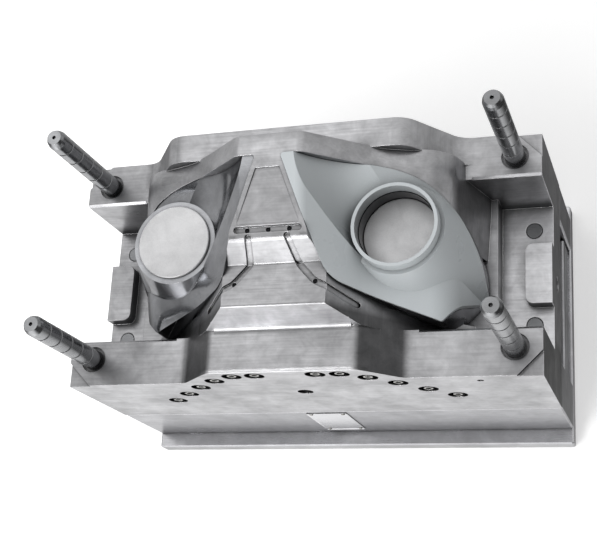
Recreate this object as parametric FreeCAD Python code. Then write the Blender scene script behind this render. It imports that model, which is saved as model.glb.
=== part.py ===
import FreeCAD, Part
import math
import os

# Injection mould half: the moving (core) half of a two-cavity tool for a
# fog-lamp bezel, standing on its clamp plate with the parting side up.
# Frame: origin at the middle of the clamp plate's underside, +X along the
# length, -Y the water-port side, +Z the opening direction.  Millimetres.

V = FreeCAD.Vector
Z_AXIS = V(0, 0, 1)

# ---- plates and rails ------------------------------------------------------
mould_length = 600.0
mould_width = 300.0
clamp_thickness = 25.0
clamp_ledge = 20.0              # the clamp plate stands out front and back
rail_height = 125.0
front_rail_thickness = 60.0
rear_rail_thickness = 48.0
block_height = 170.0            # underside of the core block to its pads
edge_chamfer = 2.0

# ---- parting side of the core block ----------------------------------------
front_pad_depth = 58.0
rear_pad_depth = 55.0
strip_width = 64.0
strip_drop = 105.0              # end strips below the pads
pry_notch_leg = 30.0
pry_notch_depth = 5.0
boss_length = 78.0              # interlock bosses on the end strips
boss_width = 33.0
boss_height = 18.0
boss_radius = 10.0
pad_chamfer = 3.0

front_ridge_rise = 46.0         # above the pads
front_ridge_half = 93.0
front_ridge_angle = 45.0
front_ridge_top_radius = 14.0
front_ridge_foot_radius = 20.0
runner_ridge_rise = 85.0
runner_ridge_half = 64.0
runner_ridge_angle = 50.0
runner_wall_run = 16.0          # slope from the front ridge to the runner ridge
runner_wall_foot_radius = 9.0
runner_ridge_depth = 51.0
crown_run = 22.0                # slope from the runner ridge to the crown
crown_front_rise = 115.0
crown_back_rise = 131.0
crown_depth = 96.0
crown_back_run = 29.0
hill_rise = 76.0
hill_half = 150.0
hill_angle = 55.0
hill_top_radius = 32.0
hill_foot_radius = 30.0
hill_depth = 36.0
relief_drop = 70.0              # floor round the core forms, below the pads

# ---- core form under the moulding ------------------------------------------
crest_rise = 129.5              # crest of the form at the back, above the pads
crest_half = 40.0
form_knee_x = 115.0
form_knee_drop = 62.0
form_shoulder_x = 195.0
form_shoulder_drop = 88.0
form_wall_run = 3.6             # wall: fall for one millimetre of run
crest_radius = 15.0
knee_radius = 130.0
shoulder_radius = 48.0
form_stations = ((-96.0, 57.0), (-60.0, 30.0), (-20.0, 18.0),
                 (30.0, 9.0), (80.0, 0.0), (116.0, 0.0))
land_rise = 1.5                 # sealing land of the block above the form

bezel_tip_x = 15.0
bezel_back_y = 90.0
bezel_outer_x = 226.0
bezel_corner_radius = 115.0
bezel_heel_y = -40.0
bezel_toe = (183.0, -84.0)
bezel_gate_corner = (66.0, -50.0)
bezel_gate_radius = 30.0

lens_x = 141.0
lens_y = 12.8
lens_rise = 62.0                # seat round the lens core, above the pads
lens_draft = 4.0
lens_core_radius = 46.5
lens_core_depth = 54.0
lens_core_edge = 0.8
right_lens_face = -20.0         # below the seat
left_lens_face = 3.5            # above the seat
collar_margin = 6.0             # from the lens core to the collar's outside
collar_draft = 0.8              # its outside narrows to the rim
collar_wall = 4.2
collar_height = 17.5
bowl_mouth = (197.0, 101.0)
bowl_mouth_radius = 165.0
bowl_mouth_rise = 130.0
skirt_angle = 18.0
pocket_drop = 92.0              # floor of the insert pockets below the pads

bezel_thickness = 3.0
bezel_gap = 0.35                # moulding to steel

# ---- centre insert and runners ---------------------------------------------
centre_insert_front = 8.0
centre_insert_back = 74.0
centre_insert_wide = 39.0
centre_insert_narrow = 15.0
centre_insert_depth = 70.0
runner_slot_half = 42.0
runner_slot_y = 2.0
runner_width = 8.0
runner_depth = 4.0
side_runner = ((24.0, -7.0), (30.0, -31.0), (50.0, -53.0), (92.0, -74.0))
side_runner_radius = 24.0

# ---- guiding ----------------------------------------------------------------
guide_pin_d = 25.0
guide_pin_reach = 162.0         # above the pads
guide_pin_head_step = 3.0
guide_pin_head = 8.0
guide_pin_inset_x = 32.0
guide_pin_inset_front = 34.0
guide_pin_inset_rear = 29.0
guide_pin_relief_step = 4.0
guide_pin_relief = 4.0
oil_groove = 1.2
oil_groove_count = 5

# ---- ejector set -------------------------------------------------------------
stop_button_d = 20.0
stop_button_height = 5.0
ejector_base_thickness = 28.0
retainer_thickness = 20.0
ejector_side_gap = 1.5
ejector_end_gap = 4.0
running_gap = 0.06              # radial, pin in its bore
return_pin_d = 20.0
return_pin_inset = 24.0
return_pin_pitch = 124.0
pin_chamfer = 0.8               # on the return pins and their bores
part_pin_d = 8.0
part_pins = ((56.0, 25.0), (81.0, 74.0), (147.0, 79.0), (197.0, -42.0),
             (170.5, -68.0), (111.0, -55.0), (80.0, -41.0))
runner_pin_d = 6.0
runner_pins = ((0.0, 2.0), (26.0, 2.0), (-26.0, 2.0), (50.0, -53.0), (-50.0, -53.0))
pin_head_extra = 6.0
pin_head = 5.0
pillar_d = 45.0
pillar_x = 125.0
pillar_gap = 1.5
ejector_guide_d = 20.0
bushing_wall = 5.0
bushing_flange = 3.0
ejector_guide_x = 238.0
knockout_d = 40.0

# ---- screws, plugs and lifting holes ----------------------------------------
rail_screw_d = 16.0
rail_screw_x = 215.0
rail_screw_bite = 30.0
plate_screw_d = 10.0
plate_screw_inset = 26.0
plate_screws_rear = (40.0, 205.0)
plate_screws_front = (20.0, 205.0)
screw_clearance = 0.5
port_d = 25.0
port_depth = 12.0
port_bore_d = 11.0
port_bore_depth = 48.0
port_pitch = 29.4
port_first_x = 38.0
port_drops = (-27.0, -26.0, -7.0, 22.0, 55.0, 88.0)    # below the pads
plug_d = 16.0
plug_length = 14.0
lift_hole_d = 20.0
lift_hole_depth = 45.0
strap_hole_d = 8.0              # for the strap that locks the halves together
strap_hole_depth = 20.0
strap_hole_x = 225.0
strap_hole_drop = 20.0          # below the pads

# ---- levels -------------------------------------------------------------------
collar_radius = lens_core_radius + collar_margin
guide_pin_head_d = guide_pin_d + 2 * guide_pin_head_step
guide_pin_relief_d = guide_pin_d + 2 * guide_pin_relief_step
z_rail = clamp_thickness
z_block = z_rail + rail_height
z_pad = z_block + block_height
z_strip = z_pad - strip_drop
z_lens = z_pad + lens_rise
z_base_plate = z_rail + stop_button_height
z_retainer = z_base_plate + ejector_base_thickness
z_retainer_top = z_retainer + retainer_thickness
x_end = mould_length / 2
y_front = -mould_width / 2
y_rear = mould_width / 2
y_pad_front = y_front + front_pad_depth
y_pad_rear = y_rear - rear_pad_depth
x_strip = x_end - strip_width
y_box_front = y_front + front_rail_thickness
y_box_rear = y_rear - rear_rail_thickness
y_box_mid = (y_box_front + y_box_rear) / 2
y_strip_mid = (y_pad_front + y_pad_rear) / 2


# ---- helpers -------------------------------------------------------------------
def box(x0, x1, y0, y1, z0, z1):
    return Part.makeBox(x1 - x0, y1 - y0, z1 - z0, V(x0, y0, z0))


def cylinder(d, x, y, z0, z1):
    return Part.makeCylinder(d / 2, z1 - z0, V(x, y, z0))


def mirror_x(shape):
    return shape.mirror(V(0, 0, 0), V(1, 0, 0))


def fuse_all(shapes):
    return shapes[0].multiFuse(shapes[1:]).removeSplitter() if len(shapes) > 1 else shapes[0]


def both_sides(points):
    """The points and their mirror images across the middle of the length."""
    return [(x, y) for x, y in points] + [(-x, y) for x, y in points]


def offset_polygon(points, shifts):
    """Counter-clockwise polygon with edge i moved outwards by shifts[i]."""
    n = len(points)
    lines = []
    for i in range(n):
        (x0, y0), (x1, y1) = points[i], points[(i + 1) % n]
        length = math.hypot(x1 - x0, y1 - y0)
        nx, ny = (y1 - y0) / length, -(x1 - x0) / length
        lines.append((nx, ny, nx * x0 + ny * y0 + shifts[i]))
    moved = []
    for i in range(n):
        a, b = lines[i - 1], lines[i]
        det = a[0] * b[1] - a[1] * b[0]
        moved.append(((a[2] * b[1] - b[2] * a[1]) / det,
                      (a[0] * b[2] - b[0] * a[2]) / det))
    return moved


def rounded_wire(corners, radii, place):
    """Closed wire of straight sides with rounded corners, set by place(u, v)."""
    pts = [place(u, v) for u, v in corners]
    n = len(pts)
    stops = []
    for i, p in enumerate(pts):
        if radii[i] <= 0:
            stops.append((p, None, p))
            continue
        u = (pts[i - 1] - p).normalize()
        w = (pts[(i + 1) % n] - p).normalize()
        half = u.getAngle(w) / 2
        bisector = (u + w).normalize()
        run = radii[i] / math.tan(half)
        middle = p + bisector * (radii[i] / math.sin(half) - radii[i])
        stops.append((p + u * run, middle, p + w * run))
    edges = []
    for i in range(n):
        start, middle, end = stops[i]
        if middle:
            edges.append(Part.Arc(start, middle, end).toShape())
        edges.append(Part.LineSegment(end, stops[(i + 1) % n][0]).toShape())
    return Part.Wire(edges)


def prism(corners, radii, place, along):
    return Part.Face(rounded_wire(corners, radii, place)).extrude(along)


def plan_prism(corners, radii, z0, z1):
    return prism(corners, radii, lambda x, y: V(x, y, z0), V(0, 0, z1 - z0))


def profile_along_y(corners, radii, y0, y1):
    return prism(corners, radii, lambda x, z: V(x, y0, z), V(0, y1 - y0, 0))


def profile_along_x(corners, radii, x0, x1):
    return prism(corners, radii, lambda y, z: V(x0, y, z), V(x1 - x0, 0, 0))


def chamfered_plate(x0, x1, y0, y1, z0, z1):
    """Plate with all its outer edges broken."""
    plate = box(x0, x1, y0, y1, z0, z1)
    return plate.makeChamfer(edge_chamfer, plate.Edges)


def socket_screw(d, x, y, z_head, z_tip):
    """Socket head screw; its head is at z_head and it points to z_tip."""
    sign = 1 if z_tip > z_head else -1
    head = Part.makeCylinder(0.75 * d, d, V(x, y, z_head), V(0, 0, sign))
    shank = Part.makeCylinder(d / 2, abs(z_tip - z_head), V(x, y, z_head), V(0, 0, sign))
    key = hexagon(0.8 * d, x, y, z_head).extrude(V(0, 0, sign * 0.5 * d))
    return head.fuse(shank).cut(key)


def hexagon(across, x, y, z):
    r = across / math.sqrt(3)
    pts = [V(x + r * math.cos(math.radians(60 * k)), y + r * math.sin(math.radians(60 * k)), z)
           for k in range(7)]
    return Part.Face(Part.makePolygon(pts))


# ---- the core form: everything under the moulding ------------------------------
def form_section(y, fall, grow):
    """Half section of the form across the mould, thickened outwards by grow."""
    top = z_pad + crest_rise - fall
    foot = z_strip - 30.0
    shoulder_z = top - form_shoulder_drop
    corners = [(0.0, foot),
               (form_shoulder_x + (shoulder_z - foot) / form_wall_run, foot),
               (form_shoulder_x, shoulder_z),
               (form_knee_x, top - form_knee_drop),
               (crest_half, top),
               (0.0, top)]
    corners = offset_polygon(corners, [0.0, grow, grow, grow, grow, 0.0])
    radii = [0, 0, shoulder_radius + grow, knee_radius - grow, crest_radius + grow, 0]
    return rounded_wire(corners, radii, lambda x, z: V(x, y, z))


def form_body(grow):
    return Part.makeLoft([form_section(y, fall, grow) for y, fall in form_stations], True)


def bezel_outline(grow):
    corners = [(bezel_tip_x, bezel_back_y), bezel_gate_corner, bezel_toe,
               (bezel_outer_x, bezel_heel_y), (bezel_outer_x, bezel_back_y)]
    radii = [4.0, bezel_gate_radius, 5.0, 6.0, bezel_corner_radius]
    return (offset_polygon(corners, [grow] * len(corners)),
            [r + grow for r in radii])


def outline_prism(grow, z0, z1):
    corners, radii = bezel_outline(grow)
    return plan_prism(corners, radii, z0, z1)


def lens_cylinder(radius, low, high):
    return cylinder(2 * radius, lens_x, lens_y, z_lens + low, z_lens + high)


def lens_clearance(grow):
    """Room above the lens seat, with draft so that the moulding lifts straight."""
    length = 120.0
    low = collar_radius + 1.0 - grow
    high = low + length * math.tan(math.radians(lens_draft))
    return Part.makeCone(low, high, length, V(lens_x, lens_y, z_lens + grow))


def bowl(grow):
    """Skewed funnel from the lens collar up to the tip of the moulding."""
    lift = grow / math.cos(math.radians(32))
    low = z_lens + lift
    high = z_pad + bowl_mouth_rise + lift
    rise = high - low
    more = 0.4
    x1 = bowl_mouth[0] + more * (bowl_mouth[0] - lens_x)
    y1 = bowl_mouth[1] + more * (bowl_mouth[1] - lens_y)
    r1 = bowl_mouth_radius + more * (bowl_mouth_radius - collar_radius)
    small = Part.Wire(Part.makeCircle(collar_radius, V(lens_x, lens_y, low)))
    large = Part.Wire(Part.makeCircle(r1, V(x1, y1, low + rise * (1 + more))))
    return Part.makeLoft([small, large], True, True)


def skirt(grow):
    """Cone that carries the lens seat above the falling side of the form."""
    length = 240.0
    top = collar_radius + 1.0 + grow
    return Part.makeCone(top + length * math.tan(math.radians(skirt_angle)), top, length,
                         V(lens_x, lens_y, z_lens + grow - length))


def core_form(grow):
    """Outer shape of the core, or of the moulding on it, by grow."""
    form = form_body(grow).cut(bowl(grow)).cut(lens_clearance(grow))
    return form.fuse(skirt(grow).common(box(0, x_strip - 4, -120, 130, z_strip, z_pad + 200)))


# ---- core inserts, lens cores, centre insert -------------------------------------
def pin_holes(points, d, z0, z1):
    return [cylinder(d + 2 * running_gap, x, y, z0, z1) for x, y in points]


def core_insert(form):
    insert = form.common(outline_prism(0.0, z_pad - pocket_drop, z_pad + 300))
    insert = insert.cut(lens_cylinder(lens_core_radius, -lens_core_depth, 60.0))
    return insert.cut(Part.makeCompound(pin_holes(part_pins, part_pin_d, z_block, z_pad + 300)))


def lens_core(face):
    r, edge = lens_core_radius, lens_core_edge
    body = lens_cylinder(r, -lens_core_depth, face - edge)
    return body.fuse(Part.makeCone(r, r - edge, edge, V(lens_x, lens_y, z_lens + face - edge)))


def bezel(form_low, form_high):
    clear = outline_prism(-bezel_gap, z_strip, z_pad + 300)
    rim_radius = collar_radius - collar_draft
    collar = Part.makeCone(collar_radius, rim_radius, collar_height, V(lens_x, lens_y, z_lens))
    outer = form_high.common(clear).fuse(collar)
    return outer.cut(form_low).cut(lens_cylinder(rim_radius - collar_wall, -5.0, 60.0))


def crown_profile():
    y0 = y_front + front_pad_depth - 5.0
    y1 = y0 + runner_wall_run
    y2 = y1 + runner_ridge_depth
    y3 = y2 + crown_run
    y4 = y3 + crown_depth
    y5 = y4 + crown_back_run
    floor = z_block + 20.0
    return ([(y0, floor), (y_rear, floor), (y_rear, z_pad + hill_rise), (y5, z_pad + hill_rise),
             (y4, z_pad + crown_back_rise), (y3, z_pad + crown_front_rise),
             (y2, z_pad + runner_ridge_rise), (y1, z_pad + runner_ridge_rise),
             (y0, z_pad + front_ridge_rise)],
            [0, 0, 3, 15, 12, 12, 3, 3, 0])


def crown():
    """Middle ridge: runner ridge in front, crown, fall to the rear hill."""
    corners, radii = crown_profile()
    body = profile_along_x(corners, radii, -x_strip, x_strip)
    z_r = z_pad + runner_ridge_rise
    up = z_pad + 200.0
    run_up = (up - z_r) * 24.0 / 45.0
    floor = z_block + 20.0
    run_down = (z_r - floor) / math.tan(math.radians(runner_ridge_angle))
    half = runner_ridge_half
    roof = [(-half - run_down, floor), (half + run_down, floor), (half, z_r),
            (half - run_up, up), (-half + run_up, up), (-half, z_r)]
    return body.common(profile_along_y(roof, [0] * 6, y_front, y_rear))


def centre_insert_prism():
    corners = [(-centre_insert_wide, centre_insert_front), (centre_insert_wide, centre_insert_front),
               (centre_insert_narrow, centre_insert_back), (-centre_insert_narrow, centre_insert_back)]
    return plan_prism(corners, [2, 2, 2, 2], z_pad + crown_back_rise - centre_insert_depth,
                      z_pad + 300)


def side_runner_band():
    """Plan band of a side runner, from the slot's step to the gate, as a tall prism."""
    pts = [V(x, y, z_pad) for x, y in side_runner]
    edges = []
    start = pts[0]
    for i in range(1, len(pts) - 1):
        u = (pts[i - 1] - pts[i]).normalize()
        w = (pts[i + 1] - pts[i]).normalize()
        half = u.getAngle(w) / 2
        room = 0.45 * min((pts[i - 1] - pts[i]).Length, (pts[i + 1] - pts[i]).Length)
        run = min(room, side_runner_radius / math.tan(half))
        r = run * math.tan(half)
        mid = pts[i] + (u + w).normalize() * (r / math.sin(half) - r)
        edges.append(Part.LineSegment(start, pts[i] + u * run).toShape())
        edges.append(Part.Arc(pts[i] + u * run, mid, pts[i] + w * run).toShape())
        start = pts[i] + w * run
    edges.append(Part.LineSegment(start, pts[-1]).toShape())
    band = Part.Wire(edges).makeOffset2D(runner_width / 2, 0, False, False, False)
    return Part.Face(band).extrude(V(0, 0, 250))


def runner_slot_band():
    x, y, r = runner_slot_half - runner_width / 2, runner_slot_y, runner_width / 2
    corners = [(-x - r, y - r), (x + r, y - r), (x + r, y + r), (-x - r, y + r)]
    return plan_prism(corners, [0.999 * r] * 4, z_pad, z_pad + 250)


def cut_runner(body, band):
    lump = body.common(band)
    lowered = lump.copy()
    lowered.translate(V(0, 0, -runner_depth))
    return body.cut(lump.cut(lowered))


# ---- core block --------------------------------------------------------------------
def ridge_corners(half, rise, angle, spread):
    """Cross section of a ridge that stands on a pad, with spread of pad beside it."""
    run = rise / math.tan(math.radians(angle))
    foot = half + run
    floor = z_block + 20.0
    return [(-foot - spread, floor), (foot + spread, floor), (foot + spread, z_pad), (foot, z_pad),
            (half, z_pad + rise), (-half, z_pad + rise), (-foot, z_pad), (-foot - spread, z_pad)]


def front_ridge():
    corners = ridge_corners(front_ridge_half, front_ridge_rise, front_ridge_angle, 20.0)
    top, foot = front_ridge_top_radius, front_ridge_foot_radius
    return profile_along_y(corners, [0, 0, 0, foot, top, top, foot, 0], y_front, y_pad_front)


def front_ridge_back():
    """The ridge behind the pad, where its sides run on down to the relief floor."""
    z_top = z_pad + front_ridge_rise
    floor = z_block + 20.0
    run = (z_top - floor) / math.tan(math.radians(front_ridge_angle))
    half, top = front_ridge_half, front_ridge_top_radius
    corners = [(-half - run, floor), (half + run, floor), (half, z_top), (-half, z_top)]
    return profile_along_y(corners, [0, 0, top, top], y_pad_front, y_pad_front + 22.0)


def rear_hill():
    corners = ridge_corners(hill_half, hill_rise, hill_angle, 25.0)
    top, foot = hill_top_radius, hill_foot_radius
    return profile_along_y(corners, [0, 0, 0, foot, top, top, foot, 0], y_rear - hill_depth, y_rear)


def runner_wall_foot():
    """Blend between the top of the front ridge and the runner wall."""
    y = y_pad_front - 5.0
    z = z_pad + front_ridge_rise
    slope = (runner_ridge_rise - front_ridge_rise) / runner_wall_run
    corners = [(y - 8, z - 4), (y + 6, z - 4), (y + 6, z + 6 * slope), (y, z), (y - 8, z)]
    half = front_ridge_half - front_ridge_top_radius / 2
    return profile_along_x(corners, [0, 0, 0, runner_wall_foot_radius, 0], -half, half)


def sealing_lands(land_form):
    """Block surface round the core form, on the right-hand side."""
    behind = box(0.0, form_shoulder_x, crown_line_y(), y_rear - 1.0, z_block, z_pad + 200)
    outer = box(form_shoulder_x, x_strip, lens_y, y_rear - 1.0, z_block, z_pad + 200)
    return [land_form.common(behind), land_form.common(outer)]


def crown_line_y():
    return y_front + front_pad_depth - 5.0 + runner_wall_run + runner_ridge_depth + crown_run


def end_strips():
    """Slots that leave the low end strips, with the interlock bosses standing."""
    tools = []
    for side in (-1, 1):
        x0, x1 = sorted((side * x_strip, side * (x_end + 5)))
        slot = box(x0, x1, y_pad_front, y_pad_rear, z_strip, z_pad + 100)
        inner = x_end - boss_width
        corners = [(inner, y_strip_mid - boss_length / 2), (x_end + 5, y_strip_mid - boss_length / 2),
                   (x_end + 5, y_strip_mid + boss_length / 2), (inner, y_strip_mid + boss_length / 2)]
        boss = plan_prism(corners, [boss_radius, 0, 0, boss_radius], z_strip - 1, z_strip + boss_height)
        if side < 0:
            boss = mirror_x(boss)
        tools.append(slot.cut(boss))
    return tools


def pad_chamfers():
    """Broken edges where the pads look down on the end strips."""
    tools = []
    for y, out, x0 in ((y_pad_rear, -1, hill_half + 66.0), (y_pad_front, 1, front_ridge_half + 62.0)):
        c = pad_chamfer
        face = Part.Face(Part.makePolygon([V(x0, y + out, z_pad - c - 1), V(x0, y + out, z_pad + 1),
                                           V(x0, y - out * (c + 1), z_pad + 1),
                                           V(x0, y + out, z_pad - c - 1)]))
        tools.append(face.extrude(V(x_end + 1 - x0, 0, 0)))
    return tools + [mirror_x(t) for t in tools]


def pry_notches():
    tools = []
    for sx in (-1, 1):
        for sy in (-1, 1):
            corner = V(sx * x_end, sy * y_rear, z_pad - pry_notch_depth)
            leg_x = corner + V(-sx * pry_notch_leg, 0, 0)
            leg_y = corner + V(0, -sy * pry_notch_leg, 0)
            face = Part.Face(Part.makePolygon([corner, leg_x, leg_y, corner]))
            tools.append(face.extrude(V(0, 0, 50)))
    return tools


def guide_pin_places():
    x = x_end - guide_pin_inset_x
    front = y_front + guide_pin_inset_front
    rear = y_rear - guide_pin_inset_rear
    return {"guide_pin_front_left": (-x, front), "guide_pin_front_right": (x, front),
            "guide_pin_rear_left": (-x, rear), "guide_pin_rear_right": (x, rear)}


def return_pin_places():
    x = x_end - return_pin_inset
    return [(sx * x, y_strip_mid + sy * return_pin_pitch / 2) for sx in (-1, 1) for sy in (-1, 1)]


def port_places():
    places = []
    for k, drop in enumerate(port_drops):
        x = port_first_x + k * port_pitch
        places += [(x, z_pad - drop), (-x, z_pad - drop)]
    return places


def water_tools():
    tools = []
    for x, z in port_places():
        tools.append(Part.makeCylinder(port_d / 2, port_depth, V(x, y_front, z), V(0, 1, 0)))
        tools.append(Part.makeCylinder(plug_d / 2, plug_length, V(x, y_front + port_depth, z), V(0, 1, 0)))
        tools.append(Part.makeCylinder(port_bore_d / 2, port_bore_depth,
                                       V(x, y_front + port_depth, z), V(0, 1, 0)))
    return tools


def lift_tools():
    r = lift_hole_d / 2
    ends = [Part.makeCylinder(r, lift_hole_depth, V(s * x_end, y_strip_mid, z_strip - 32), V(-s, 0, 0))
            for s in (-1, 1)]
    front = Part.makeCylinder(r, lift_hole_depth, V(0, y_front, z_pad - 56), V(0, 1, 0))
    strap = Part.makeCylinder(strap_hole_d / 2, strap_hole_depth,
                              V(strap_hole_x, y_front, z_pad - strap_hole_drop), V(0, 1, 0))
    return ends + [front, strap]


def guide_pin_tools():
    tools = []
    for x, y in guide_pin_places().values():
        tools.append(cylinder(guide_pin_d, x, y, z_block, z_pad + 1))
        tools.append(cylinder(guide_pin_head_d, x, y, z_block, z_block + guide_pin_head))
        tools.append(cylinder(guide_pin_relief_d, x, y, z_pad - guide_pin_relief, z_pad + 1))
    return tools


def block_drillings():
    tools = guide_pin_tools() + water_tools() + lift_tools()
    top = z_pad + 300
    tools += pin_holes(return_pin_places(), return_pin_d, z_block, top)
    for x, y in return_pin_places():
        r = return_pin_d / 2 + running_gap
        tools.append(Part.makeCone(r, r + pin_chamfer, pin_chamfer, V(x, y, z_strip - pin_chamfer)))
    tools += pin_holes(both_sides(part_pins), part_pin_d, z_block, top)
    tools += pin_holes(runner_pins, runner_pin_d, z_block, top)
    for x, y in rail_screw_places():
        tools.append(cylinder(rail_screw_d, x, y, z_block, z_block + rail_screw_bite))
    for x, y in ejector_guide_places():
        tools.append(cylinder(ejector_guide_d, x, y, z_block, z_block + 20))
    return tools


def core_block(land_form):
    low = box(-x_end, x_end, y_front, y_rear, z_block, z_pad - relief_drop)
    pads = [box(-x_end, x_end, y_front, y_pad_front, z_block, z_pad),
            box(-x_end, x_end, y_pad_rear, y_rear, z_block, z_pad),
            box(-x_end, -x_strip, y_front, y_rear, z_block, z_pad),
            box(x_strip, x_end, y_front, y_rear, z_block, z_pad)]
    lands = sealing_lands(land_form)
    lands += [mirror_x(s) for s in lands]
    ridges = [front_ridge(), front_ridge_back(), runner_wall_foot(), rear_hill(), crown()]
    body = low.multiFuse(pads + ridges + lands)
    body = body.common(box(-x_end, x_end, y_front, y_rear, z_block, z_pad + 300))
    pocket = outline_prism(0.0, z_pad - pocket_drop, z_pad + 300)
    body = body.cut(Part.makeCompound(end_strips() + pry_notches()))
    body = body.cut(pad_chamfers())
    body = body.cut([pocket, mirror_x(pocket), centre_insert_prism()])
    side_band = side_runner_band()
    for band in (runner_slot_band(), side_band, mirror_x(side_band)):
        body = cut_runner(body, band)
    return body.cut(block_drillings())


def centre_insert():
    return crown().common(centre_insert_prism())


# ---- guide pins --------------------------------------------------------------------
def guide_pin(x, y):
    """Headed pin with oil grooves and a stepped, chamfered tip."""
    r = guide_pin_d / 2
    z0, z1 = z_block, z_pad + guide_pin_reach
    pts = [(0, z0), (guide_pin_head_d / 2, z0), (guide_pin_head_d / 2, z0 + guide_pin_head),
           (r, z0 + guide_pin_head)]
    step = guide_pin_reach / (oil_groove_count + 1)
    for k in range(1, oil_groove_count + 1):
        z = z_pad + k * step
        pts += [(r, z - 1.5), (r - oil_groove, z - 1.5 + oil_groove / 2),
                (r - oil_groove, z + 1.5 - oil_groove / 2), (r, z + 1.5)]
    pts += [(r, z1 - 9), (r - 1.2, z1 - 4), (r - 3.4, z1), (2.4, z1), (1.2, z1 - 3), (0, z1 - 3)]
    wire = Part.makePolygon([V(u, 0, v) for u, v in pts] + [V(0, 0, z0)])
    pin = Part.Face(wire).revolve(V(0, 0, 0), Z_AXIS, 360)
    pin.translate(V(x, y, 0))
    return pin


# ---- rails, clamp plate, pillars -----------------------------------------------------
def rail_screw_places():
    return [(x, y) for x in (-rail_screw_x, 0.0, rail_screw_x)
            for y in ((y_front + y_box_front) / 2, (y_rear + y_box_rear) / 2)]


def rail(y0, y1):
    body = chamfered_plate(-x_end, x_end, y0, y1, z_rail, z_block)
    return body.cut([cylinder(rail_screw_d + 2 * screw_clearance, x, y, z_rail, z_block)
                     for x, y in rail_screw_places() if y0 < y < y1])


def clamp_plate():
    body = chamfered_plate(-x_end, x_end, y_front - clamp_ledge, y_rear + clamp_ledge, 0, z_rail)
    tools = [cylinder(knockout_d, 0, 0, -1, z_rail + 1)]
    for x, y in rail_screw_places():
        tools.append(cylinder(rail_screw_d + 2 * screw_clearance, x, y, -1, z_rail + 1))
        tools.append(cylinder(1.5 * rail_screw_d + 2, x, y, -1, rail_screw_d + 1))
    for x, y in ejector_guide_places():
        tools.append(cylinder(ejector_guide_d, x, y, z_rail - 12, z_rail + 1))
    return body.cut(tools)


def rail_screws():
    tip = z_block + rail_screw_bite - 2
    return Part.makeCompound([socket_screw(rail_screw_d, x, y, 1.0, tip)
                              for x, y in rail_screw_places()])


def pillar_places():
    return [(-pillar_x, y_box_mid), (pillar_x, y_box_mid)]


def support_pillars():
    return Part.makeCompound([cylinder(pillar_d, x, y, z_rail, z_block) for x, y in pillar_places()])


# ---- ejector set ------------------------------------------------------------------------
def ejector_guide_places():
    return [(sx * ejector_guide_x, y_strip_mid + sy * return_pin_pitch / 2)
            for sx in (-1, 1) for sy in (-1, 1)]


def all_ejector_pins():
    """Every pin of the ejector set: place and diameter."""
    pins = [(x, y, return_pin_d) for x, y in return_pin_places()]
    pins += [(x, y, part_pin_d) for x, y in both_sides(part_pins)]
    return pins + [(x, y, runner_pin_d) for x, y in runner_pins]


def ejector_plate_blank(z0, z1):
    plate = chamfered_plate(-x_end + ejector_end_gap, x_end - ejector_end_gap,
                            y_box_front + ejector_side_gap, y_box_rear - ejector_side_gap, z0, z1)
    tools = [cylinder(pillar_d + 2 * pillar_gap, x, y, z0 - 1, z1 + 1) for x, y in pillar_places()]
    tools += [cylinder(ejector_guide_d + 2 * bushing_wall, x, y, z0 - 1, z1 + 1)
              for x, y in ejector_guide_places()]
    return plate.cut(tools)


def ejector_retainer_plate():
    plate = ejector_plate_blank(z_retainer, z_retainer_top)
    tools = []
    for x, y, d in all_ejector_pins():
        tools.append(cylinder(d + 1, x, y, z_retainer - 1, z_retainer_top + 1))
        tools.append(cylinder(d + pin_head_extra, x, y, z_retainer - 1, z_retainer + pin_head))
    for x, y in plate_screw_places():
        tools.append(cylinder(plate_screw_d, x, y, z_retainer - 1, z_retainer + 16))
    return plate.cut(tools)


def ejector_base_plate():
    plate = ejector_plate_blank(z_base_plate, z_retainer)
    tools = []
    for x, y in plate_screw_places():
        tools.append(cylinder(plate_screw_d + 1, x, y, z_base_plate - 1, z_retainer + 1))
        tools.append(cylinder(1.5 * plate_screw_d + 2, x, y, z_base_plate - 1,
                              z_base_plate + plate_screw_d + 1))
    for x, y in ejector_guide_places():
        tools.append(cylinder(ejector_guide_d + 2 * bushing_wall + 2 * bushing_flange, x, y,
                              z_base_plate - 1, z_base_plate + bushing_flange))
    return plate.cut(tools)


def plate_screw_places():
    rear = [(x, y_box_rear - plate_screw_inset) for x in plate_screws_rear]
    front = [(x, y_box_front + plate_screw_inset) for x in plate_screws_front]
    return both_sides(rear + front)


def ejector_plate_screws():
    return Part.makeCompound([socket_screw(plate_screw_d, x, y, z_base_plate + 1, z_retainer + 15)
                              for x, y in plate_screw_places()])


def ejector_pin(x, y, d, z_top):
    head = cylinder(d + pin_head_extra, x, y, z_retainer, z_retainer + pin_head)
    return head.fuse(cylinder(d, x, y, z_retainer, z_top)).removeSplitter()


def return_pins():
    pins = []
    for x, y in return_pin_places():
        pin = ejector_pin(x, y, return_pin_d, z_strip - pin_chamfer)
        pins.append(pin.fuse(Part.makeCone(return_pin_d / 2, return_pin_d / 2 - pin_chamfer, pin_chamfer,
                                           V(x, y, z_strip - pin_chamfer))))
    return Part.makeCompound(pins)


def part_ejector_pins(form, points):
    """Pins whose tips follow the form they push on."""
    pins = []
    for x, y in points:
        above = box(x - 10, x + 10, y - 10, y + 10, z_pad - pocket_drop, z_pad + 250).cut(form)
        pins.append(ejector_pin(x, y, part_pin_d, z_pad + 200).cut(above))
    return Part.makeCompound(pins)


def runner_ejector_pins(block_top):
    pins = []
    for x, y in runner_pins:
        tall = ejector_pin(x, y, runner_pin_d, z_pad + 200)
        tall = tall.common(box(x - 10, x + 10, y - 10, y + 10, z_rail, block_top(x, y)))
        pins.append(tall)
    return Part.makeCompound(pins)


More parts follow.
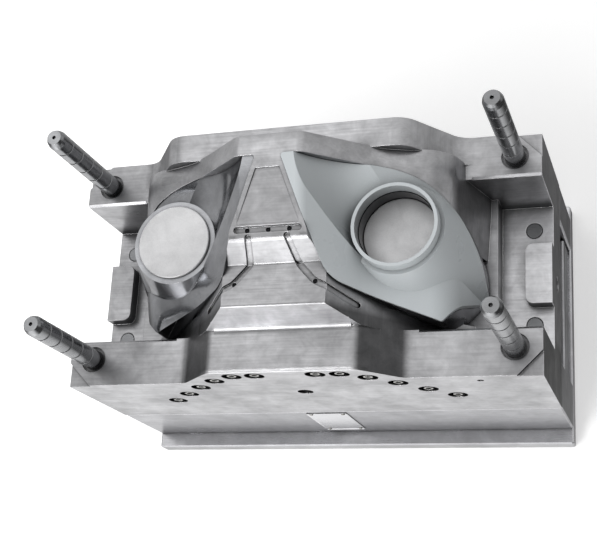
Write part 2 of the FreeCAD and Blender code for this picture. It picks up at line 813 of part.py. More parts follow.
def runner_floor(x, y):
    """Height of the runner's floor where a pin stands in it."""
    corners, _ = crown_profile()
    ys = [corners[7], corners[6], corners[5], corners[4]]
    for (ya, za), (yb, zb) in zip(ys, ys[1:]):
        if ya <= y <= yb:
            return za + (zb - za) * (y - ya) / (yb - ya) - runner_depth
    return z_pad


def ejector_guide_pins():
    return Part.makeCompound([cylinder(ejector_guide_d, x, y, z_rail - 12, z_block + 20)
                              for x, y in ejector_guide_places()])


def ejector_guide_bushings():
    bushings = []
    outer = ejector_guide_d + 2 * bushing_wall
    for x, y in ejector_guide_places():
        body = cylinder(outer, x, y, z_base_plate, z_retainer_top)
        flange = cylinder(outer + 2 * bushing_flange, x, y, z_base_plate, z_base_plate + bushing_flange)
        bore = cylinder(ejector_guide_d + 2 * running_gap, x, y, z_base_plate - 1, z_retainer_top + 1)
        bushings.append(body.fuse(flange).cut(bore).removeSplitter())
    return Part.makeCompound(bushings)


def stop_buttons():
    places = return_pin_places() + [(-70.0, y_box_mid), (70.0, y_box_mid)]
    return Part.makeCompound([cylinder(stop_button_d, x, y, z_rail, z_base_plate) for x, y in places])


# ---- water plugs ---------------------------------------------------------------------------
def water_plugs():
    plugs = []
    for x, z in port_places():
        y = y_front + port_depth
        body = Part.makeCylinder(plug_d / 2, plug_length, V(x, y, z), V(0, 1, 0))
        key = hexagon(8.0, 0, 0, 0).extrude(V(0, 0, 6))
        key.rotate(V(0, 0, 0), V(1, 0, 0), -90)
        key.translate(V(x, y, z))
        plugs.append(body.cut(key))
    return Part.makeCompound(plugs)


def build():
    form = core_form(0.0)
    form_gap = core_form(bezel_gap)
    form_top = core_form(bezel_gap + bezel_thickness)
    insert = core_insert(form)
    parts = {
        "clamp_plate": clamp_plate(),
        "front_rail": rail(y_front, y_box_front),
        "rear_rail": rail(y_box_rear, y_rear),
        "core_block": core_block(form_body(land_rise)),
        "right_core_insert": insert,
        "left_core_insert": mirror_x(insert),
        "right_lens_core": lens_core(right_lens_face),
        "left_lens_core": mirror_x(lens_core(left_lens_face)),
        "centre_insert": centre_insert(),
        "bezel_moulding": bezel(form_gap, form_top),
        "support_pillars": support_pillars(),
        "rail_screws": rail_screws(),
        "stop_buttons": stop_buttons(),
        "ejector_base_plate": ejector_base_plate(),
        "ejector_retainer_plate": ejector_retainer_plate(),
        "ejector_plate_screws": ejector_plate_screws(),
        "return_pins": return_pins(),
        "moulding_ejector_pins": part_ejector_pins(form_gap, part_pins),
        "bare_core_ejector_pins": mirror_x(part_ejector_pins(form, part_pins)),
        "runner_ejector_pins": runner_ejector_pins(runner_floor),
        "ejector_guide_pins": ejector_guide_pins(),
        "ejector_guide_bushings": ejector_guide_bushings(),
        "water_plugs": water_plugs(),
    }
    for name, (x, y) in guide_pin_places().items():
        parts[name] = guide_pin(x, y)
    return parts


os.makedirs("parts", exist_ok=True)
for name, shape in build().items():
    shape.exportStep("parts/" + name + ".step")
    print(name, len(shape.Solids), round(shape.Volume / 1000), shape.isValid())
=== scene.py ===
import math
import bpy
from mathutils import Matrix, Quaternion, Vector


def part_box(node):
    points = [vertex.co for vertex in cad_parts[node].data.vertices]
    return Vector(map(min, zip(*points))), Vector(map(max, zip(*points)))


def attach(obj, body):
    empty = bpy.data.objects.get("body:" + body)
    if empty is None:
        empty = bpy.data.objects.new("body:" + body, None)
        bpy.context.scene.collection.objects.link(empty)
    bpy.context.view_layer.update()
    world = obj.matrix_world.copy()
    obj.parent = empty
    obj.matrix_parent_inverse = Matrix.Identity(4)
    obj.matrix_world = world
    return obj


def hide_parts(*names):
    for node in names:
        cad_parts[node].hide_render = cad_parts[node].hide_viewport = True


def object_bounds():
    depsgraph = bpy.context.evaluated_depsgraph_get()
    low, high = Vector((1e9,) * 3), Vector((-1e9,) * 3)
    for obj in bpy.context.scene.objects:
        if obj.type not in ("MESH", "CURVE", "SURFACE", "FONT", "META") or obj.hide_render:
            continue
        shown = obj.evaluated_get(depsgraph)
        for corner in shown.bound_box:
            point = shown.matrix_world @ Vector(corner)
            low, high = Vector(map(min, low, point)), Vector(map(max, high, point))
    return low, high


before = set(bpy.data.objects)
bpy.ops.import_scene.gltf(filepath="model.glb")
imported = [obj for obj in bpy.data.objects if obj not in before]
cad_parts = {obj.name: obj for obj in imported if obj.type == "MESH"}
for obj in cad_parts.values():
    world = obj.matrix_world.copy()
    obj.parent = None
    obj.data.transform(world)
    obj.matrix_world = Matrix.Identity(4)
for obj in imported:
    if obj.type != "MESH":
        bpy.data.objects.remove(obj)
cad_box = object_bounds()
MM = 0.001

# ---- clamp plate and rails ---------------------------------------------------
# Plates of mild mould steel, surface ground: fine straight scratches along the length, a
# soft sheen, edges broken by hand with a file. Screws through the clamp plate and the rails
# hold them to the block. The clamp plate's front face is darkened with painted shade.
ground_line = 1.3 * MM          # drawn coarser than the real 0.2 mm, so that it shows
ground_line_length = 90 * MM
ground_depth = 0.012 * MM
broken_edge = 0.9 * MM
stain_scale = 14.0              # stains of about 70 mm
smear_scale = 55.0              # smears of about 18 mm
# the reaches below darken the colour near walls and in corners: dirt, and partly painted shade
dirt_and_shade_reach = 18 * MM            # how far from a wall the steel is still grimy
corner_dirt_and_shade_reach = 4 * MM           # how far dirt packs into a corner


def linear(sheet_hex):
    """sRGB hex colour as linear RGBA."""
    channels = [int(sheet_hex[i:i + 2], 16) / 255 for i in (1, 3, 5)]
    return [c / 12.92 if c <= 0.04045 else ((c + 0.055) / 1.055) ** 2.4 for c in channels] + [1.0]


def add(tree, kind, settings, links=None):
    """A node with its settings; numbers and sockets in links go to its inputs."""
    made = tree.nodes.new(kind)
    for name, value in settings.items():
        setattr(made, name, value)
    for name, value in (links or {}).items():
        if isinstance(value, bpy.types.NodeSocket):
            tree.links.new(value, made.inputs[name])
        else:
            made.inputs[name].default_value = value
    return made


def steel(name, colour, roughness, line, line_length, depth, edge, stain=0.12, dirt_and_shade_depth=0.64,
          bare="#DADADC"):
    """Cut steel: tool lines along one axis, stains of handling, dirt and painted shade in corners, edges
    lightened by wear and a painted highlight.
    """
    material = bpy.data.materials.new(name)
    material.use_nodes = True
    tree = material.node_tree
    shader = tree.nodes["Principled BSDF"]
    shader.inputs["Metallic"].default_value = 1.0
    place = add(tree, "ShaderNodeTexCoord", {}).outputs["Object"]
    geometry = add(tree, "ShaderNodeNewGeometry", {})
    lines = []
    for stretch in ((1 / line_length, 1 / line, 1 / line), (1 / line, 1 / line_length, 1 / line)):
        stretched = add(tree, "ShaderNodeMapping", {}, {"Vector": place, "Scale": stretch})
        lines.append(add(tree, "ShaderNodeTexNoise", {}, {"Vector": stretched.outputs[0], "Scale": 1.0,
                                                          "Detail": 3.0, "Roughness": 0.6}).outputs["Fac"])
    turn = add(tree, "ShaderNodeSeparateXYZ", {}, {0: geometry.outputs["Normal"]})
    facing = add(tree, "ShaderNodeMath", {"operation": "ABSOLUTE"}, {0: turn.outputs["X"]}).outputs[0]
    ends = add(tree, "ShaderNodeMapRange", {}, {"Value": facing, "From Min": 0.6,
                                                "From Max": 0.8}).outputs[0]
    line_mix = add(tree, "ShaderNodeMix", {"data_type": "FLOAT"},
                   {0: ends, 2: lines[0], 3: lines[1]}).outputs[0]
    blotch = add(tree, "ShaderNodeTexNoise", {}, {"Vector": place, "Scale": stain_scale, "Detail": 5.0,
                                                  "Roughness": 0.62}).outputs["Fac"]
    smear = add(tree, "ShaderNodeTexNoise", {}, {"Vector": place, "Scale": smear_scale, "Detail": 4.0,
                                                 "Roughness": 0.6, "Distortion": 0.8}).outputs["Fac"]
    round_edge = add(tree, "ShaderNodeBevel", {"samples": 4}, {"Radius": edge}).outputs[0]
    # lighter at the edges: wear, and partly a painted highlight
    flush = add(tree, "ShaderNodeVectorMath", {"operation": "DOT_PRODUCT"},
                {0: round_edge, 1: geometry.outputs["Normal"]}).outputs["Value"]
    wear_and_highlight = add(tree, "ShaderNodeMapRange", {}, {"Value": flush, "From Min": 0.999,
                                                "From Max": 0.93}).outputs[0]
    # darker where the steel is hemmed in by walls: dirt, and partly painted shade
    wide_occlusion = add(tree, "ShaderNodeAmbientOcclusion", {"samples": 6},
                {"Distance": dirt_and_shade_reach, "Normal": round_edge}).outputs["AO"]
    tone = linear(colour)
    for pattern, depth_of_tone in ((blotch, 2.0 * stain), (smear, 1.2 * stain), (line_mix, 0.55 * stain)):
        shade = add(tree, "ShaderNodeMapRange", {}, {"Value": pattern, "From Min": 0.34, "From Max": 0.66,
                                                     "To Min": 1 + depth_of_tone / 2,
                                                     "To Max": 1 - depth_of_tone / 2}).outputs[0]
        tone = add(tree, "ShaderNodeMix", {"data_type": "RGBA", "blend_type": "MULTIPLY"},
                   {0: 1.0, 6: tone, 7: shade}).outputs[2]
    dirt_and_shade_wide = add(tree, "ShaderNodeMapRange", {}, {"Value": wide_occlusion, "From Min": 0.3, "From Max": 0.92,
                                                "To Min": 1 - dirt_and_shade_depth, "To Max": 1.0}).outputs[0]
    corner = add(tree, "ShaderNodeAmbientOcclusion", {"samples": 5},
                 {"Distance": corner_dirt_and_shade_reach, "Normal": round_edge}).outputs["AO"]
    dirt_and_shade_tight = add(tree, "ShaderNodeMapRange", {}, {"Value": corner, "From Min": 0.35, "From Max": 0.85,
                                                  "To Min": 1 - 1.1 * dirt_and_shade_depth, "To Max": 1.0}).outputs[0]
    dirt_and_shade_factor = add(tree, "ShaderNodeMath", {"operation": "MULTIPLY"}, {0: dirt_and_shade_wide, 1: dirt_and_shade_tight}).outputs[0]
    dirtied_and_shaded = add(tree, "ShaderNodeMix", {"data_type": "RGBA", "blend_type": "MULTIPLY"},
                {0: 1.0, 6: tone, 7: dirt_and_shade_factor}).outputs[2]
    edged = add(tree, "ShaderNodeMix", {"data_type": "RGBA"},
                {0: wear_and_highlight, 6: dirtied_and_shaded, 7: linear(bare)}).outputs[2]
    tree.links.new(edged, shader.inputs["Base Color"])
    rough = add(tree, "ShaderNodeMapRange", {}, {"Value": line_mix, "From Min": 0.3, "From Max": 0.7,
                                                 "To Min": roughness * 0.82,
                                                 "To Max": roughness * 1.2}).outputs[0]
    patchy = add(tree, "ShaderNodeMapRange", {}, {"Value": blotch, "From Min": 0.3, "From Max": 0.7,
                                                  "To Min": -0.05, "To Max": 0.06}).outputs[0]
    total = add(tree, "ShaderNodeMath", {"operation": "ADD"}, {0: rough, 1: patchy}).outputs[0]
    tree.links.new(total, shader.inputs["Roughness"])
    relief = add(tree, "ShaderNodeBump", {}, {"Strength": 1.0, "Distance": depth, "Height": line_mix,
                                              "Normal": round_edge}).outputs[0]
    tree.links.new(relief, shader.inputs["Normal"])
    return material


def multiply_colour(material, factor):
    """Multiplies a finish's colour by the given value."""
    tree = material.node_tree
    shader = tree.nodes["Principled BSDF"]
    plain_colour = shader.inputs["Base Color"].links[0].from_socket
    multiplied = add(tree, "ShaderNodeMix", {"data_type": "RGBA", "blend_type": "MULTIPLY"},
                 {0: 1.0, 6: plain_colour, 7: factor}).outputs[2]
    tree.links.new(multiplied, shader.inputs["Base Color"])


def finish(material, *names):
    """Gives CAD nodes their material."""
    for name in names:
        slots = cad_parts[name].data.materials
        slots.clear()
        slots.append(material)


ground_steel = steel("surface_ground_mould_steel", "#A9A9AC", 0.33, ground_line, ground_line_length,
                     ground_depth, broken_edge)
finish(ground_steel, "front_rail", "rear_rail")
clamp_steel = steel("surface_ground_clamp_plate_steel", "#D2D2D5", 0.3, ground_line,
                    ground_line_length, ground_depth, 0.4 * MM, dirt_and_shade_depth=0.3, bare="#A9A9AB")
clamp_tree = clamp_steel.node_tree
# faces turned to the front are darkened to half: painted shade
clamp_front_shade = add(clamp_tree, "ShaderNodeSeparateXYZ", {},
                  {0: add(clamp_tree, "ShaderNodeNewGeometry", {}).outputs["Normal"]}).outputs[1]
multiply_colour(clamp_steel, add(clamp_tree, "ShaderNodeMapRange", {},
                           {"Value": clamp_front_shade, "From Min": -0.8, "From Max": -0.4,
                            "To Min": 0.5}).outputs[0])
finish(clamp_steel, "clamp_plate")

# ---- core block --------------------------------------------------------------
# One block of prehardened tool steel, its parting side milled with a ball cutter and stoned,
# so its lines are coarser and its sheen softer than on the ground plates. Painted shade darkens
# its walls and the ridge's flanks, its flat tops are darker towards the left, and painted light brightens
# the end strips.
milled_steel = steel("milled_and_stoned_tool_steel", "#B0B0B2", 0.36, 2.2 * MM, 60 * MM,
                     0.03 * MM, 1.2 * MM, stain=0.17)
block_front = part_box("core_block")[0][1]
pad_z = 320 * MM
strip_z = 215 * MM
milled_edge = 1.3 * MM
# the nose's wider edge band is lightened in colour as well, and is partly a painted highlight
stoned_edge = 9 * MM            # the ridge's nose is stoned rounder than the other edges
block_tree = milled_steel.node_tree
block_x, block_y, block_z = add(block_tree, "ShaderNodeSeparateXYZ", {},
                                {0: add(block_tree, "ShaderNodeTexCoord", {}).outputs["Object"]}).outputs
block_facing = add(block_tree, "ShaderNodeSeparateXYZ", {},
                   {0: add(block_tree, "ShaderNodeNewGeometry", {}).outputs["Normal"]}).outputs
face_x, face_z = block_facing["X"], block_facing["Z"]
off_middle_x, off_middle_y, side_facing, up_facing = [
    add(block_tree, "ShaderNodeMath", {"operation": "ABSOLUTE"}, {0: signed}).outputs[0]
    for signed in (block_x, block_y, face_x, face_z)]

nose_front = add(block_tree, "ShaderNodeMapRange", {},
                 {"Value": block_y, "From Min": block_front + 11 * MM,
                  "From Max": block_front + 8 * MM}).outputs[0]
nose_high = add(block_tree, "ShaderNodeMapRange", {},
                {"Value": block_z, "From Min": pad_z + 33 * MM, "From Max": pad_z + 36 * MM}).outputs[0]
nose = add(block_tree, "ShaderNodeMath", {"operation": "MULTIPLY"},
           {0: nose_front, 1: nose_high}).outputs[0]
edge_radius = add(block_tree, "ShaderNodeMapRange", {}, {"Value": nose, "To Min": milled_edge,
                                                         "To Max": stoned_edge}).outputs[0]
for node in block_tree.nodes:
    if node.bl_idname == "ShaderNodeBevel":
        block_tree.links.new(edge_radius, node.inputs["Radius"])

# upright walls near the strips, between the pads and inside the ends turn dark grey: painted shade
upright = add(block_tree, "ShaderNodeMapRange", {}, {"Value": up_facing, "From Min": 0.55,
                                                     "From Max": 0.35}).outputs[0]
near_strip = add(block_tree, "ShaderNodeMapRange", {},
                 {"Value": block_z, "From Min": strip_z + 34 * MM,
                  "From Max": strip_z + 10 * MM}).outputs[0]
between_pads = add(block_tree, "ShaderNodeMath", {"operation": "LESS_THAN"},
                   {0: off_middle_y, 1: 120 * MM}).outputs[0]
inside_ends = add(block_tree, "ShaderNodeMath", {"operation": "LESS_THAN"},
                  {0: off_middle_x, 1: 299 * MM}).outputs[0]
wall_shade = upright
for limit in (near_strip, between_pads, inside_ends):
    wall_shade = add(block_tree, "ShaderNodeMath", {"operation": "MULTIPLY"},
                   {0: wall_shade, 1: limit}).outputs[0]
block_shader = block_tree.nodes["Principled BSDF"]
unshaded_colour = block_shader.inputs["Base Color"].links[0].from_socket
wall_shaded_colour = add(block_tree, "ShaderNodeMix", {"data_type": "RGBA"},
                   {0: wall_shade, 6: unshaded_colour, 7: linear("#4A4B4C")}).outputs[2]
block_tree.links.new(wall_shaded_colour, block_shader.inputs["Base Color"])

# the ridge's side-facing flanks towards the front are darkened: painted shade
ridge_side = add(block_tree, "ShaderNodeMapRange", {}, {"Value": side_facing, "From Min": 0.1,
                                                        "From Max": 0.55}).outputs[0]
ridge_front = add(block_tree, "ShaderNodeMapRange", {}, {"Value": block_y, "From Min": -70 * MM,
                                                         "From Max": -84 * MM}).outputs[0]
ridge_flank_shade = add(block_tree, "ShaderNodeMath", {"operation": "MULTIPLY"},
                  {0: ridge_side, 1: ridge_front}).outputs[0]
multiply_colour(milled_steel, add(block_tree, "ShaderNodeMapRange", {}, {"Value": ridge_flank_shade, "To Min": 1.0,
                                                                   "To Max": 0.3}).outputs[0])

flat_top = add(block_tree, "ShaderNodeMath", {"operation": "GREATER_THAN"}, {0: face_z, 1: 0.95}).outputs[0]
# flat tops grow darker towards the left
darker_to_left = add(block_tree, "ShaderNodeMapRange", {}, {"Value": block_x, "From Min": -230 * MM,
                                                        "From Max": -40 * MM, "To Min": 0.76}).outputs[0]
multiply_colour(milled_steel, add(block_tree, "ShaderNodeMix", {"data_type": "FLOAT"},
                            {0: flat_top, 2: 1.0, 3: darker_to_left}).outputs[0])

# flat tops brightened towards the right, most on the end strips: painted light
towards_right = add(block_tree, "ShaderNodeMapRange", {},
                    {"Value": block_x, "From Min": -240 * MM, "From Max": 240 * MM,
                     "To Min": 0.25}).outputs[0]
lit_strip_part = add(block_tree, "ShaderNodeMath", {"operation": "MULTIPLY"},
                 {0: flat_top, 1: towards_right}).outputs[0]
strip_painted_light = add(block_tree, "ShaderNodeMapRange", {},
                  {"Value": block_z, "From Min": strip_z + 21 * MM, "From Max": strip_z + 19 * MM,
                   "To Min": 1.0, "To Max": 1.55}).outputs[0]
multiply_colour(milled_steel, add(block_tree, "ShaderNodeMix", {"data_type": "FLOAT"},
                            {0: lit_strip_part, 2: 1.0, 3: strip_painted_light}).outputs[0])
finish(milled_steel, "core_block", "centre_insert")

# ---- core inserts ------------------------------------------------------------
# Hardened tool steel let into pockets of the block, polished with diamond paste close to
# a mirror, with hairline scratches. The open bore over the right lens core is darkened with painted shade.
polished_steel = steel("diamond_polished_tool_steel", "#98999C", 0.15, 1.0 * MM, 40 * MM,
                       0.006 * MM, 0.2 * MM, stain=0.14, bare="#A8A8AA")
lens_x, lens_y, lens_bore_radius = 141 * MM, 12.8 * MM, 48.5 * MM
polished_tree = polished_steel.node_tree
seen_from_above = add(polished_tree, "ShaderNodeVectorMath", {"operation": "MULTIPLY"},
                      {0: add(polished_tree, "ShaderNodeTexCoord", {}).outputs["Object"], 1: (1, 1, 0)})
from_lens_axis = add(polished_tree, "ShaderNodeVectorMath", {"operation": "DISTANCE"},
                     {0: seen_from_above.outputs[0], 1: (lens_x, lens_y, 0)}).outputs["Value"]
# colour inside the lens bore darkened: painted shade
multiply_colour(polished_steel, add(polished_tree, "ShaderNodeMapRange", {},
                              {"Value": from_lens_axis, "From Min": lens_bore_radius - 0.5 * MM,
                               "From Max": lens_bore_radius, "To Min": 0.16}).outputs[0])
finish(polished_steel, "left_core_insert", "right_core_insert", "bare_core_ejector_pins")

# ---- lens cores --------------------------------------------------------------
# Turned tool steel cores, held in the bores of the inserts. Their faces are bead blasted
# to an even, matt, nearly white grey, so that the lens seat comes out frosted.
blasted_steel = steel("bead_blasted_tool_steel", "#E4E4E5", 0.62, 0.9 * MM, 0.9 * MM,
                      0.02 * MM, 0.8 * MM, stain=0.06, dirt_and_shade_depth=0.12)
finish(blasted_steel, "left_lens_core", "right_lens_core")

# ---- bezel moulding ----------------------------------------------------------
# Moulded ABS in its own blue-grey, unpainted: an even satin skin with the fine bloom
# of a first shot, and darkened with painted shade where the form closes in round the lens opening.
abs_plastic = bpy.data.materials.new("moulded_blue_grey_abs")
abs_plastic.use_nodes = True
abs_tree = abs_plastic.node_tree
abs_shader = abs_tree.nodes["Principled BSDF"]
abs_shader.inputs["IOR"].default_value = 1.53
abs_place = add(abs_tree, "ShaderNodeTexCoord", {}).outputs["Object"]
abs_bloom = add(abs_tree, "ShaderNodeTexNoise", {}, {"Vector": abs_place, "Scale": 18.0,
                                                     "Detail": 4.0}).outputs["Fac"]
abs_tone = add(abs_tree, "ShaderNodeMix", {"data_type": "RGBA"},
               {0: abs_bloom, 6: linear("#B2B7BA"), 7: linear("#B9BEC0")}).outputs[2]
# darker where the moulding is hemmed in: painted shade
abs_occlusion = add(abs_tree, "ShaderNodeAmbientOcclusion", {"samples": 6},
                 {"Distance": 90 * MM}).outputs["AO"]
abs_painted_shade = add(abs_tree, "ShaderNodeMapRange", {}, {"Value": abs_occlusion, "From Min": 0.35,
                                                     "From Max": 0.9, "To Min": 0.3}).outputs[0]
abs_colour = add(abs_tree, "ShaderNodeMix", {"data_type": "RGBA", "blend_type": "MULTIPLY"},
                 {0: 1.0, 6: abs_tone, 7: abs_painted_shade}).outputs[2]
abs_tree.links.new(abs_colour, abs_shader.inputs["Base Color"])
abs_rough = add(abs_tree, "ShaderNodeMapRange", {}, {"Value": abs_bloom, "From Min": 0.3,
                                                     "From Max": 0.7, "To Min": 0.26,
                                                     "To Max": 0.36}).outputs[0]
abs_tree.links.new(abs_rough, abs_shader.inputs["Roughness"])
abs_grain = add(abs_tree, "ShaderNodeTexNoise", {}, {"Vector": abs_place, "Scale": 1 / (0.8 * MM),
                                                     "Detail": 1.0}).outputs["Fac"]
abs_edge = add(abs_tree, "ShaderNodeBevel", {"samples": 4}, {"Radius": 0.6 * MM}).outputs[0]
abs_relief = add(abs_tree, "ShaderNodeBump", {}, {"Strength": 1.0, "Distance": 0.006 * MM,
                                                  "Height": abs_grain, "Normal": abs_edge})
abs_tree.links.new(abs_relief.outputs[0], abs_shader.inputs["Normal"])
finish(abs_plastic, "bezel_moulding")

# ---- guide pins and ejector pins ----------------------------------------------
# Case-hardened steel pins, cylindrically ground and pressed or hung in their plates:
# darker and glossier than the plates, the grinding lines running round them.
pin_steel = steel("hardened_ground_pin_steel", "#9A9B9D", 0.24, 1.1 * MM, 30 * MM,
                  0.01 * MM, 0.35 * MM, bare="#B4B4B6")
guide_pins = [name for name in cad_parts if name.startswith("guide_pin_")]
finish(pin_steel, *guide_pins, "ejector_guide_pins", "moulding_ejector_pins", "stop_buttons")

# ---- return pins -----------------------------------------------------------------
# Steel pins that push the ejector set back when the tool closes. Their heads are flame
# hardened and ground flush with the strips, and look darker than the block round them.
return_steel = steel("flame_hardened_pin_steel", "#7C7D7F", 0.3, 0.9 * MM, 20 * MM, 0.01 * MM, 0.5 * MM)
finish(return_steel, "return_pins")

# ---- runner ejector pins ---------------------------------------------------------
# Nitrided steel pins, nearly black and dull: their tips are the dark dots along the
# runners, where they push the sprue waste out.
nitrided_steel = steel("nitrided_pin_steel", "#2A2A2C", 0.42, 0.8 * MM, 8 * MM, 0.01 * MM, 0.4 * MM)
finish(nitrided_steel, "runner_ejector_pins")

# ---- ejector plates, pillars, bushings ------------------------------------------
# Plates and pillars of plain steel, ground on both faces, with the same even lines as the
# rails; bushings of cast bronze, turned and pressed in, a warm yellow brown.
plate_steel = steel("ground_ejector_plate_steel", "#B9BABC", 0.36, 1.3 * MM, 80 * MM,
                    0.014 * MM, broken_edge)
finish(plate_steel, "ejector_base_plate", "ejector_retainer_plate", "support_pillars")
bushing_bronze = steel("turned_bearing_bronze", "#B78C4E", 0.3, 1.0 * MM, 20 * MM,
                       0.01 * MM, 0.5 * MM)
finish(bushing_bronze, "ejector_guide_bushings")

# ---- screws ---------------------------------------------------------------------
# Socket head screws of alloy steel with a black oxide skin: nearly black, a little glossy,
# worn bright on the edges by the key, and with a painted highlight there.
screw_steel = steel("black_oxide_screw_steel", "#3A3B3E", 0.38, 0.8 * MM, 8 * MM,
                    0.01 * MM, 0.5 * MM)
finish(screw_steel, "rail_screws", "ejector_plate_screws")

# ---- water nipples -----------------------------------------------------------------
# Turned nipples of zinc plated steel for the cooling hoses, one screwed into the floor of
# each recessed port: thread, collar and a hollow stub that ends flush with the block.
port_first = 38 * MM
port_pitch = 29.4 * MM
port_drops = [drop * MM for drop in (-27, -26, -7, 22, 55, 88)]
nipple_foot = 26 * MM
nipple_thread_radius = 8 * MM
nipple_profile = ((14, 8.0), (1.2, 7.4), (2.4, 7.4), (0.0, 5.2), (1.6, 5.2), (0.0, 6.1), (6.2, 5.7),
                  (0.0, 3.6), (-16, 3.6))    # advance along the bore, radius at its end, in mm
bpy.ops.object.select_all(action="DESELECT")
bpy.ops.mesh.primitive_circle_add(vertices=28, radius=nipple_thread_radius, fill_type="NGON",
                                  location=(0, nipple_foot, 0), rotation=(math.pi / 2, 0, 0))
nipple = bpy.context.object
bpy.ops.object.transform_apply(location=True, rotation=True, scale=True)
bpy.ops.object.mode_set(mode="EDIT")
bpy.ops.mesh.select_all(action="SELECT")
reached, radius = nipple_foot, nipple_thread_radius
for advance, next_radius in nipple_profile:
    reached -= advance * MM
    bpy.ops.mesh.extrude_region_move(TRANSFORM_OT_translate={"value": (0, -advance * MM, 0)})
    scale = next_radius * MM / radius
    bpy.ops.transform.resize(value=(scale, 1, scale), center_override=(0, reached, 0))
    radius = next_radius * MM
bpy.ops.mesh.select_all(action="SELECT")
bpy.ops.mesh.remove_doubles(threshold=0.00001)
bpy.ops.mesh.normals_make_consistent(inside=False)
bpy.ops.object.mode_set(mode="OBJECT")
bpy.ops.object.shade_smooth_by_angle(angle=math.radians(35))
nipples = []
for number, drop in enumerate(port_drops):
    for side in (-1, 1):
        copy = nipple.copy()
        copy.data = nipple.data.copy()
        bpy.context.scene.collection.objects.link(copy)
        copy.data.transform(Matrix.Translation((side * (port_first + number * port_pitch),
                                                block_front, pad_z - drop)))
        nipples.append(copy)
bpy.data.objects.remove(nipple)
bpy.ops.object.select_all(action="DESELECT")
for copy in nipples:
    copy.select_set(True)
bpy.context.view_layer.objects.active = nipples[0]
bpy.ops.object.join()
water_nipples = bpy.context.object
water_nipples.name = "water_nipples"
nipple_steel = steel("zinc_plated_nipple_steel", "#A2A19D", 0.3, 0.8 * MM, 8 * MM, 0.01 * MM, 0.3 * MM)
water_nipples.data.materials.append(nipple_steel)
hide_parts("water_plugs")
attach(water_nipples, "mould_base")

# ---- label plate ---------------------------------------------------------------------
# A bare plate of anodised aluminium with a rolled rim, held on the front rail by four
# dome headed drive rivets.
plate_low = Vector((-38 * MM, block_front, 44 * MM))
plate_high = Vector((18 * MM, block_front, 144 * MM))
plate_thickness = 1.2 * MM
plate_corner = 3 * MM
rim_width = 0.8 * MM
rim_slope = 0.9 * MM
rim_height = 0.5 * MM
plate_middle = (plate_low + plate_high) / 2
bpy.ops.object.select_all(action="DESELECT")
bpy.ops.mesh.primitive_cube_add(size=1.0, location=plate_middle - Vector((0, plate_thickness / 2, 0)))
label_plate = bpy.context.object
label_plate.name = "label_plate"
label_plate.scale = (plate_high.x - plate_low.x, plate_thickness, plate_high.z - plate_low.z)
bpy.ops.object.transform_apply(location=True, rotation=True, scale=True)
for part in (label_plate.data.vertices, label_plate.data.polygons):
    for item in part:
        item.select = False
for edge in label_plate.data.edges:
    first, second = [label_plate.data.vertices[index].co for index in edge.vertices]
    edge.select = abs(first.y - second.y) > plate_thickness / 2
bpy.context.tool_settings.mesh_select_mode = (False, True, False)
bpy.ops.object.mode_set(mode="EDIT")
bpy.ops.mesh.bevel(offset=plate_corner, segments=5)
bpy.ops.mesh.select_all(action="DESELECT")
bpy.ops.object.mode_set(mode="OBJECT")
for face in label_plate.data.polygons:
    face.select = face.normal.y < -0.9
bpy.context.tool_settings.mesh_select_mode = (False, False, True)
bpy.ops.object.mode_set(mode="EDIT")
bpy.ops.mesh.inset(thickness=rim_width)
bpy.ops.mesh.inset(thickness=rim_slope, depth=-rim_height)
bpy.ops.object.mode_set(mode="OBJECT")
plate_aluminium = steel("anodised_plate_aluminium", "#E4E4E6", 0.3, 0.8 * MM, 60 * MM, 0.012 * MM,
                        0.25 * MM, stain=0.05)
label_plate.data.materials.append(plate_aluminium)
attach(label_plate, "mould_base")

rivet_radius = 2.6 * MM
rivet_inset = 6 * MM
rivet_flatness = 0.62
rivets = []
for x in (plate_low.x + rivet_inset, plate_high.x - rivet_inset):
    for z in (plate_low.z + rivet_inset, plate_high.z - rivet_inset):
        bpy.ops.object.select_all(action="DESELECT")
        bpy.ops.mesh.primitive_uv_sphere_add(segments=20, ring_count=10, radius=rivet_radius,
                                             location=(x, block_front - plate_thickness + rim_height, z),
                                             rotation=(math.pi / 2, 0, 0))
        rivet = bpy.context.object
        rivet.scale = (1, 1, rivet_flatness)
        bpy.ops.object.transform_apply(location=True, rotation=True, scale=True)
        bpy.ops.object.mode_set(mode="EDIT")
        bpy.ops.mesh.select_all(action="SELECT")
        bpy.ops.mesh.bisect(plane_co=(x, block_front - 0.2 * MM, z), plane_no=(0, 1, 0), use_fill=True,
                            clear_outer=True)
        bpy.ops.object.mode_set(mode="OBJECT")
        bpy.ops.object.shade_smooth_by_angle(angle=math.radians(40))
        rivets.append(rivet)
bpy.ops.object.select_all(action="DESELECT")
for rivet in rivets:
    rivet.select_set(True)
bpy.context.view_layer.objects.active = rivets[0]
bpy.ops.object.join()
plate_rivets = bpy.context.object
plate_rivets.name = "plate_rivets"
plate_rivets.data.materials.append(nipple_steel)
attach(plate_rivets, "mould_base")

# ---- studio ------------------------------------------------------------------------
# A pale paper floor in a white tent with lit panels on all sides, the lower one in place of
# the floor, which reflections don't show. Softboxes stand overhead and in front, and a third
# one, flagged off the steel, lights the moulding.
floor_z = cad_box[0][2]
bpy.ops.object.select_all(action="DESELECT")
bpy.ops.mesh.primitive_plane_add(size=40.0, location=(0, 0, floor_z - 0.0005))
floor = bpy.context.object
floor.name = "studio_floor"
paper = bpy.data.materials.new("matt_white_paper")
paper.use_nodes = True
paper_shader = paper.node_tree.nodes["Principled BSDF"]
paper_shader.inputs["Base Color"].default_value = linear("#F4F4F4")
paper_shader.inputs["Roughness"].default_value = 0.9
paper_shader.inputs["Emission Color"].default_value = linear("#FFFFFF")
paper_shader.inputs["Emission Strength"].default_value = 0.3
floor.data.materials.append(paper)
floor.visible_glossy = False

tent_light = 0.08
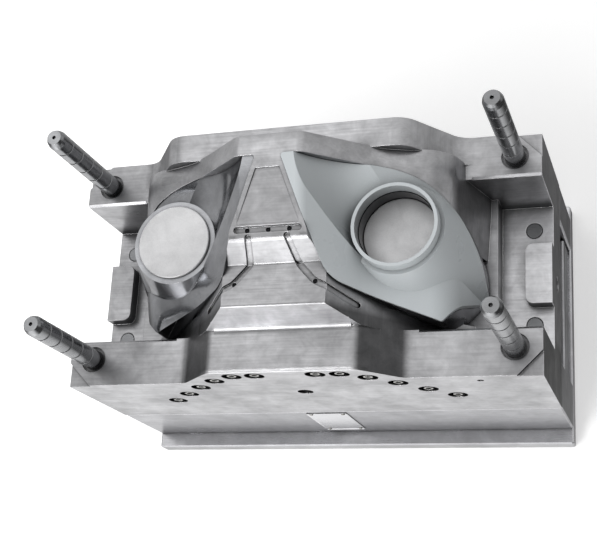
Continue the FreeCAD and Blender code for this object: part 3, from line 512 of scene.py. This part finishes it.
# each panel: its direction, the cosines where its light starts and is full, its strength
tent_panels = [((0.12, 0.30, 0.94), 0.48, 0.98, 0.82), ((-0.30, -0.95, 0.0), 0.60, 0.99, 1.55),
               ((-0.22, -0.42, -0.88), 0.60, 0.97, 1.05), ((-0.88, 0.28, 0.20), 0.58, 0.96, 0.62),
               ((0.90, 0.34, 0.12), 0.82, 0.95, 0.52),
               ((0.0, 0.95, -0.25), 0.50, 0.92, 0.5)]
room = bpy.data.worlds.new("white_tent")
bpy.context.scene.world = room
room.use_nodes = True
room_tree = room.node_tree
room_tree.nodes["Background"].inputs["Color"].default_value = linear("#FFFFFF")
look_way = add(room_tree, "ShaderNodeTexCoord", {}).outputs["Generated"]
total_light = tent_light
for way, edge, middle, power in tent_panels:
    near = add(room_tree, "ShaderNodeVectorMath", {"operation": "DOT_PRODUCT"},
               {0: look_way, 1: Vector(way).normalized()}).outputs["Value"]
    panel = add(room_tree, "ShaderNodeMapRange", {"interpolation_type": "SMOOTHSTEP"},
                {"Value": near, "From Min": edge, "From Max": middle, "To Max": power}).outputs[0]
    total_light = add(room_tree, "ShaderNodeMath", {"operation": "ADD"},
                      {0: panel, 1: total_light}).outputs[0]
room_tree.links.new(total_light, room_tree.nodes["Background"].inputs["Strength"])


def soft_light(name, place, target, width, height, power):
    lamp = bpy.data.lights.new(name, "AREA")
    lamp.shape = "RECTANGLE"
    lamp.size, lamp.size_y, lamp.energy = width, height, power
    lamp_object = bpy.data.objects.new(name, lamp)
    bpy.context.scene.collection.objects.link(lamp_object)
    lamp_object.location = place
    lamp_object.rotation_euler = (Vector(target) - Vector(place)).to_track_quat("-Z", "Y").to_euler()
    return lamp_object


soft_light("overhead_softbox", (-1.0, 0.9, 2.4), (0, 0, 0.25), 1.2, 1.2, 3.0)
soft_light("front_softbox", (-0.9, -2.2, 1.5), (0.1, 0, 0.35), 1.0, 1.0, 18.0)
flagged = soft_light("flagged_softbox", (-1.2, -1.08, 2.1), (0, 0, 0.3), 1.3, 1.3, 34.0)
flagged.visible_glossy = False

# ---- camera --------------------------------------------------------------------------
# High over the front right corner, looking down on the parting side and turned about its
# line of sight, so that the long edges lie nearly level.
camera_place = Vector((0.4886, -0.5110, 1.7346))
camera_aim = Vector((-0.02677, 0.02103, 0.240))
camera_roll = math.radians(-43.986)
camera_data = bpy.data.cameras.new("studio_camera")
camera_data.lens = 77.0
camera_data.sensor_width = 36.0
camera_data.clip_start = 0.01
camera = bpy.data.objects.new("studio_camera", camera_data)
bpy.context.scene.collection.objects.link(camera)
look = (camera_aim - camera_place).to_track_quat("-Z", "Y") @ Quaternion((0, 0, 1), camera_roll)
camera.matrix_world = Matrix.Translation(camera_place) @ look.to_matrix().to_4x4()
bpy.context.scene.camera = camera
bpy.context.scene.view_settings.view_transform = "Standard"
